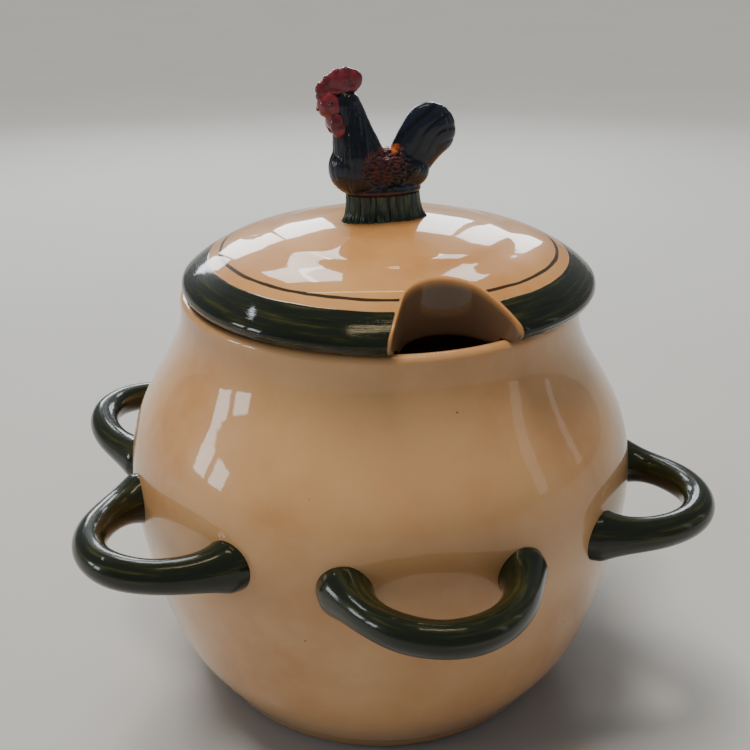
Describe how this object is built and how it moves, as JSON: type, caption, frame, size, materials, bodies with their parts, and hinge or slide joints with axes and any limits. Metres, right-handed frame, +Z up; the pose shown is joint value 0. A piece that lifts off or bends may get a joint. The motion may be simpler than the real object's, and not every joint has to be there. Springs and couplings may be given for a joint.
{
  "type": "lidded soup tureen",
  "caption": "Round-bellied glazed ceramic tureen with loop handles round its belly and a lift-off domed lid with a ladle notch and a rooster knob.",
  "frame": {"origin": "centre of the foot ring's resting plane, on the axis of the pot", "axes": "+Z up along the pot's axis; -Y out through the middle of the front handle, the side of the lid's ladle notch; +X to the right seen from the front. The lid is turned 5.8 degrees, so its notch points 5.8 degrees from -Y towards +X and its rooster faces about -X. The lid rests 4.2 mm off the axis, towards +X."},
  "size_m": [0.3112, 0.3471, 0.321],
  "materials": {
    "ivory_glaze": "gloss",
    "green_glaze": "gloss",
    "rooster_red_glaze": "gloss",
    "rooster_dark_glaze": "gloss",
    "rooster_rust_glaze": "gloss",
    "rooster_eye_glaze": "gloss"
  },
  "bodies": {
    "pot": {"pot_body": "ivory_glaze", "handle_front": "green_glaze", "handle_front_right": "green_glaze", "handle_back_right": "green_glaze", "handle_back": "green_glaze", "handle_back_left": "green_glaze", "handle_front_left": "green_glaze"},
    "lid": {"lid_shell": "ivory_glaze", "lid_notch_wall": "ivory_glaze", "lid_flange": "ivory_glaze", "grass_base": "green_glaze", "rooster_body": "rooster_dark_glaze", "rooster_face": "rooster_red_glaze", "rooster_tail": "rooster_dark_glaze", "rooster_comb": "rooster_red_glaze", "rooster_beak": "rooster_rust_glaze", "rooster_wing_left": "rooster_rust_glaze", "rooster_wing_right": "rooster_rust_glaze", "rooster_wattle_left": "rooster_red_glaze", "rooster_wattle_right": "rooster_red_glaze", "rooster_eye_left": "rooster_eye_glaze", "rooster_eye_right": "rooster_eye_glaze"}
  },
  "joints": [
    {"name": "lid_lift", "type": "slide", "parent": "pot", "child": "lid", "axis": [0, 0, 1], "range_m": [0, 0.12]}
  ]
}
